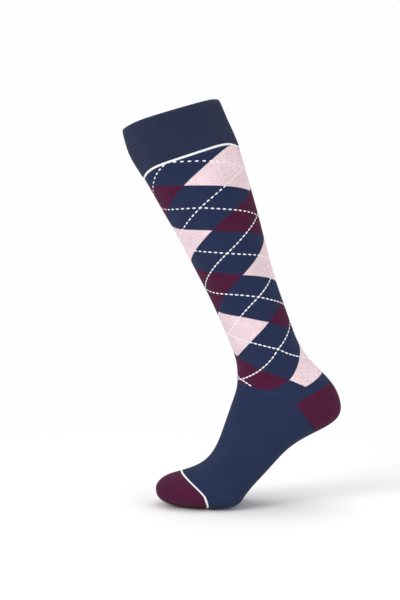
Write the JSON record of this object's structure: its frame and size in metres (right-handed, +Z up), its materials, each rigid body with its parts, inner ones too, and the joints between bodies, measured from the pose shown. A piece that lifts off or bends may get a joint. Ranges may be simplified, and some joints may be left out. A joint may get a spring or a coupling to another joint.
{
  "type": "riding sock",
  "caption": "Knee-high knitted riding sock with a ribbed cuff, argyle leg, heel pocket and closed toe, held to the shape of a foot on tiptoe.",
  "frame": {"origin": "centre of the mouth of the cuff, where a leg goes in", "axes": "+Z up as the sock stands on its ball and toes, +X towards the heel, -X towards the toes, Y across the foot; the leg's axis leaves the mouth towards +Z and a little -X"},
  "size_m": [0.2436, 0.104, 0.4544],
  "materials": {
    "cuff": "ribbed matte knit",
    "cuff_stripe": "matte knit",
    "leg": "matte knit with an argyle pattern",
    "foot": "matte knit",
    "heel": "matte knit",
    "toe_stripe": "matte knit",
    "toe_cap": "matte knit"
  },
  "bodies": {
    "root": {"cuff": "cuff", "cuff_stripe": "cuff_stripe", "leg": "leg", "foot": "foot", "heel": "heel", "toe_stripe": "toe_stripe", "toe_cap": "toe_cap"}
  },
  "joints": []
}
